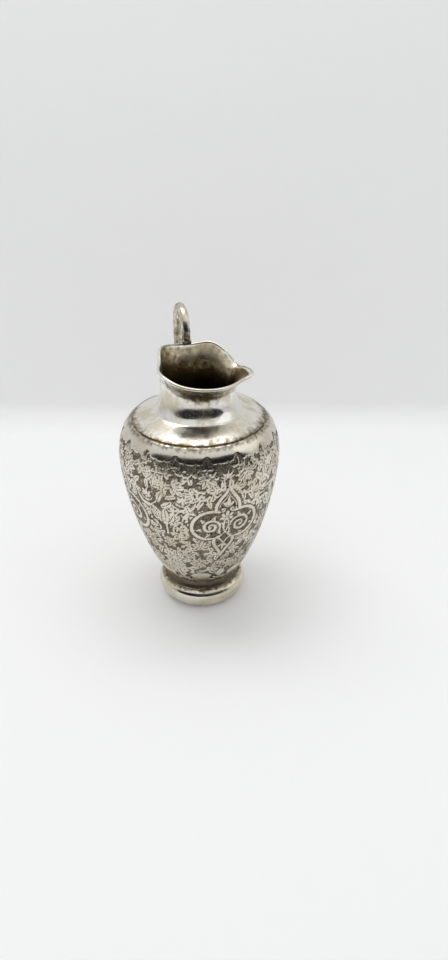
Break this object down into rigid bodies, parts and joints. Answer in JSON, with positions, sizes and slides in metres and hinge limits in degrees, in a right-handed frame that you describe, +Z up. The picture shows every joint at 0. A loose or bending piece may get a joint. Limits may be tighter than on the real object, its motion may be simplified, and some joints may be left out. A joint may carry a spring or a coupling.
{
  "type": "cream jug",
  "caption": "Small footed jug with a chased ovoid body, domed shoulder, short flared neck with a pouring lip, and a rod loop handle.",
  "frame": {"origin": "centre of the foot ring's resting plane", "axes": "+Z up along the jug's axis, +X through the pouring lip"},
  "size_m": [0.056, 0.0574, 0.1057],
  "materials": {
    "chased_silver": "chased silver sheet, bright on the raised motifs and dark in the matted ground",
    "planished_silver": "hammered and polished silver sheet, lightly worn, tarnished under the rim",
    "foot_silver": "rolled and polished silver, scuffed where it rests",
    "handle_silver": "polished silver rod with brown tarnish on its inner side",
    "seat_silver": "filed silver, dull grey",
    "silver_solder": "silver solder, yellowish and tarnished"
  },
  "bodies": {
    "root": {"body_vessel": "chased_silver", "shoulder_and_neck": "planished_silver", "foot_ring": "foot_silver", "handle": "handle_silver", "handle_rim_seat": "seat_silver", "rim_seat_solder": "silver_solder", "handle_shoulder_solder": "silver_solder", "shoulder_seam_solder": "silver_solder", "foot_seam_solder": "silver_solder"}
  },
  "joints": []
}
